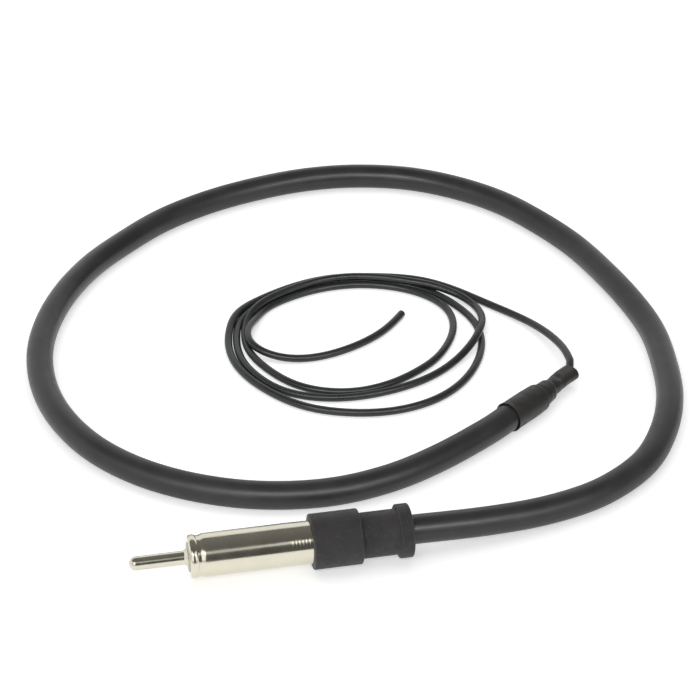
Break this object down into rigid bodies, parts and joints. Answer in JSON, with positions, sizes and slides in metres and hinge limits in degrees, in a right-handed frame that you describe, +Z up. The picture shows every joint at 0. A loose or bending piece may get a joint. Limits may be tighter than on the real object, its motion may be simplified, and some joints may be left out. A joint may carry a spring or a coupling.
{
  "type": "dipole antenna",
  "caption": "Soft wire radio aerial lead: coaxial plug with a bare centre pin, boot and bushing, thick coaxial loop, shrunk splice and a thin receiving wire in a loose coil.",
  "frame": {"origin": "on the table under the middle of the plug, measured without the cable, splice and wire", "axes": "+X along the plug's axis from the pin towards the cable, +Z up, +Y away from the viewer, where the loop lies"},
  "size_m": [0.1487, 0.1649, 0.0115],
  "materials": {
    "nickel_pin": "bright nickel plate",
    "nickel_barrel": "bright nickel plate, warm in tone",
    "insulator_plastic": "moulded, satin",
    "ferrule_brass": "drawn, plain",
    "boot_plastic": "moulded, matte with faint scuffs",
    "copper": "bare drawn copper",
    "foam_insulation": "foamed polyethylene",
    "tinned_braid": "woven tinned strands",
    "solder": "satin solder",
    "cable_jacket": "extruded PVC, satin",
    "shrink_sleeve": "shrunk polyolefin, matte",
    "wire_insulation": "extruded PVC, satin"
  },
  "bodies": {
    "root": {"centre_pin": "nickel_pin", "nose_insulator": "insulator_plastic", "barrel": "nickel_barrel", "crimp_ferrule": "ferrule_brass", "boot_collar": "boot_plastic", "cable_bushing": "boot_plastic", "plug_core": "copper", "plug_foam": "foam_insulation", "plug_braid": "tinned_braid", "plug_solder": "solder", "coax_cable": "cable_jacket", "splice_braid": "tinned_braid", "splice_foam": "foam_insulation", "splice_core": "copper", "splice_joint": "solder", "wire_strands": "copper", "splice_inner_sleeve": "shrink_sleeve", "splice_outer_sleeve": "shrink_sleeve", "wire_lead": "wire_insulation", "wire_coil": "wire_insulation", "wire_tail": "wire_insulation"}
  },
  "joints": []
}
